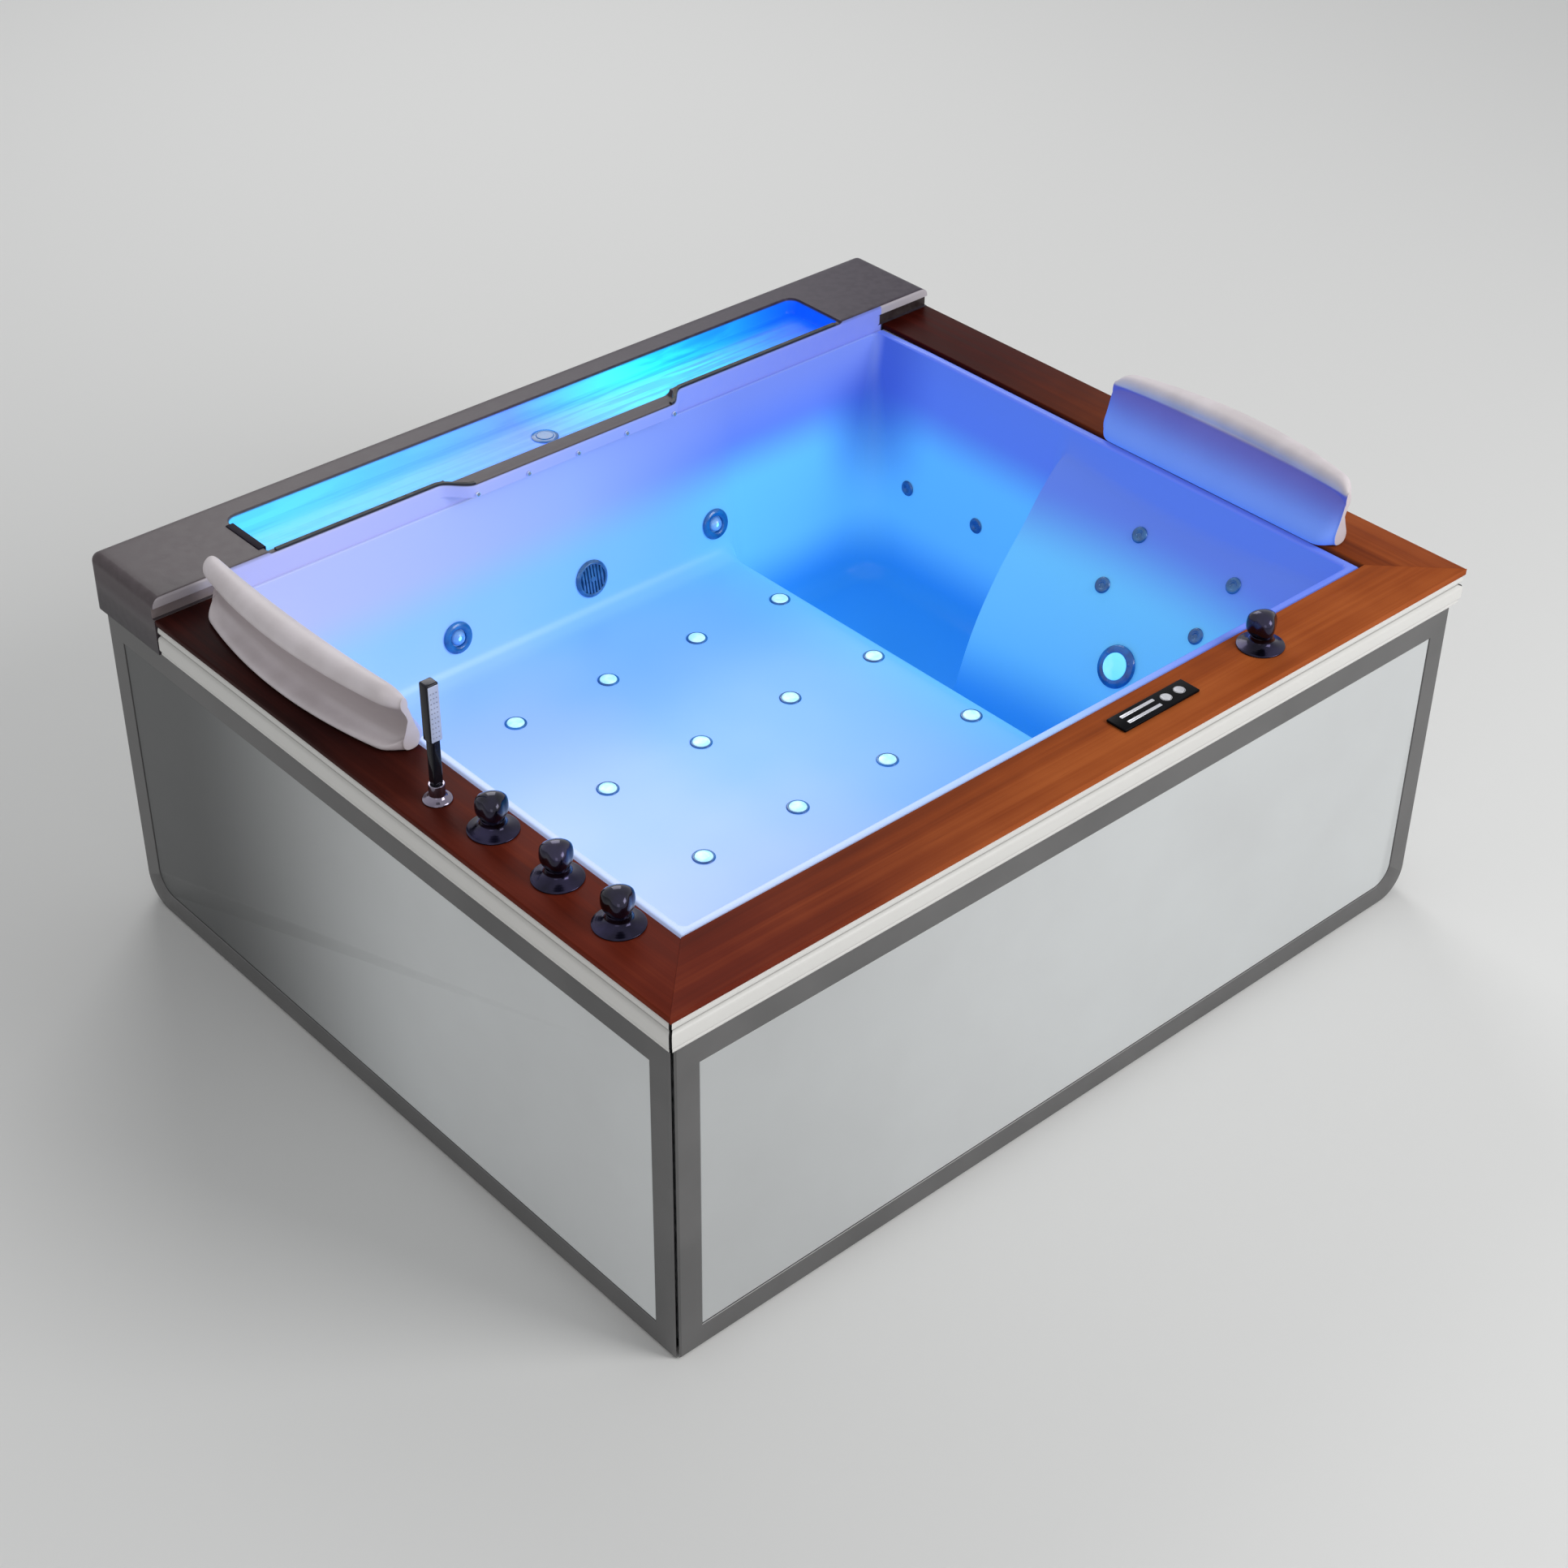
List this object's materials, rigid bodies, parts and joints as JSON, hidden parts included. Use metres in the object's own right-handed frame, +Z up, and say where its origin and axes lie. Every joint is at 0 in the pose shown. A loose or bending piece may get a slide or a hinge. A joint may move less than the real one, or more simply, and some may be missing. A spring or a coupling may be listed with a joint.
{
  "type": "jetted bathtub",
  "caption": "Rectangular two-person jetted hot tub with a lit waterfall deck, wood rim boards, framed skirt panels, headrests, hand shower and valve knobs.",
  "frame": {"origin": "on the floor under the middle of the tub's footprint", "axes": "+Z up, X along the tub's length, +Y towards the raised waterfall deck at the back"},
  "size_m": [1.8, 1.55, 0.9241],
  "materials": {
    "acrylic": "gloss",
    "wood": "satin",
    "frame": "satin",
    "panel": "satin",
    "steel": "satin",
    "chrome": "polished",
    "dark_chrome": "polished",
    "silver": "satin",
    "black": "gloss",
    "grey": "satin",
    "pump": "satin",
    "blue": "gloss",
    "lens": "gloss",
    "foam": "satin",
    "rubber": "matte"
  },
  "bodies": {
    "tub": {"air_blower": "black", "air_jet_manifold": "lens", "air_pipe": "black", "air_valve": "dark_chrome", "back_jets_left": "grey", "back_jets_right": "grey", "circulation_pump": "pump", "cold_valve": "dark_chrome", "control_box": "grey", "control_panel": "black", "deck_board_front": "wood", "deck_board_left": "wood", "deck_board_right": "wood", "diverter_valve": "dark_chrome", "drain_body": "chrome", "foot_jets": "grey", "front_skirt_frame": "frame", "hot_valve": "dark_chrome", "jet_header": "grey", "left_panel": "panel", "left_skirt_frame": "frame", "levelling_foot_1": "rubber", "levelling_foot_2": "rubber", "levelling_foot_3": "rubber", "levelling_foot_4": "rubber", "pressure_pipe": "black", "rear_panel": "panel", "rear_skirt_frame": "frame", "right_panel": "panel", "right_skirt_frame": "frame", "ring_jet_left": "chrome", "ring_jet_right": "chrome", "shower_holder": "chrome", "spout_nozzles": "lens", "steel_cradle": "steel", "suction_grille": "grey", "suction_pipe": "black", "trough_inlet": "blue", "tub_shell": "acrylic", "underwater_lens": "lens", "underwater_light": "blue", "waterfall_deck": "acrylic", "weir_strip_left": "black", "weir_strip_right": "black"},
    "hot_knob": {"hot_knob": "dark_chrome"},
    "cold_knob": {"cold_knob": "dark_chrome"},
    "diverter_knob": {"diverter_knob": "dark_chrome"},
    "air_knob": {"air_knob": "dark_chrome"},
    "hand_shower": {"hand_shower": "chrome"},
    "air_key": {"air_key": "silver"},
    "jet_key": {"jet_key": "silver"},
    "light_key": {"light_key": "silver"},
    "power_key": {"power_key": "silver"},
    "headrest_left": {"headrest_left": "foam"},
    "headrest_right": {"headrest_right": "foam"},
    "ring_nozzle_left": {"ring_nozzle_left": "lens"},
    "ring_nozzle_right": {"ring_nozzle_right": "lens"},
    "drain_stopper": {"drain_stopper": "chrome"},
    "front_panel": {"front_panel": "panel"}
  },
  "joints": [
    {"name": "hot_turn", "type": "hinge", "parent": "tub", "child": "hot_knob", "pos_m": [-0.822, -0.268, 0.745], "axis": [0, 0, 1], "range_deg": [0, 90]},
    {"name": "cold_turn", "type": "hinge", "parent": "tub", "child": "cold_knob", "pos_m": [-0.822, -0.425, 0.745], "axis": [0, 0, 1], "range_deg": [0, 90]},
    {"name": "diverter_turn", "type": "hinge", "parent": "tub", "child": "diverter_knob", "pos_m": [-0.822, -0.568, 0.745], "axis": [0, 0, 1], "range_deg": [0, 180]},
    {"name": "air_turn", "type": "hinge", "parent": "tub", "child": "air_knob", "pos_m": [0.442, -0.697, 0.745], "axis": [0, 0, 1], "range_deg": [0, 90]},
    {"name": "shower_lift", "type": "slide", "parent": "tub", "child": "hand_shower", "axis": [0, 0, 1], "range_m": [0, 0.08]},
    {"name": "air_key_press", "type": "slide", "parent": "tub", "child": "air_key", "axis": [0, 0, -1], "range_m": [0, 0.001], "stiffness_N_per_m": 500, "springref_m": -0.001},
    {"name": "jet_key_press", "type": "slide", "parent": "tub", "child": "jet_key", "axis": [0, 0, -1], "range_m": [0, 0.001], "stiffness_N_per_m": 500, "springref_m": -0.001},
    {"name": "light_key_press", "type": "slide", "parent": "tub", "child": "light_key", "axis": [0, 0, -1], "range_m": [0, 0.001], "stiffness_N_per_m": 500, "springref_m": -0.001},
    {"name": "power_key_press", "type": "slide", "parent": "tub", "child": "power_key", "axis": [0, 0, -1], "range_m": [0, 0.001], "stiffness_N_per_m": 500, "springref_m": -0.001},
    {"name": "headrest_left_lift", "type": "slide", "parent": "tub", "child": "headrest_left", "axis": [0, 0, 1], "range_m": [0, 0.05]},
    {"name": "headrest_right_lift", "type": "slide", "parent": "tub", "child": "headrest_right", "axis": [0, 0, 1], "range_m": [0, 0.05]},
    {"name": "ring_nozzle_left_swivel", "type": "hinge", "parent": "tub", "child": "ring_nozzle_left", "pos_m": [-0.33, 0.51998, 0.45464], "axis": [1, 0, 0], "range_deg": [-12, 12]},
    {"name": "ring_nozzle_right_swivel", "type": "hinge", "parent": "tub", "child": "ring_nozzle_right", "pos_m": [0.289, 0.51998, 0.45464], "axis": [1, 0, 0], "range_deg": [-12, 12]},
    {"name": "stopper_lift", "type": "slide", "parent": "tub", "child": "drain_stopper", "axis": [0, 0, 1], "range_m": [0, 0.01]},
    {"name": "front_panel_pull", "type": "slide", "parent": "tub", "child": "front_panel", "axis": [0, -1, 0], "range_m": [0, 0.1]}
  ]
}
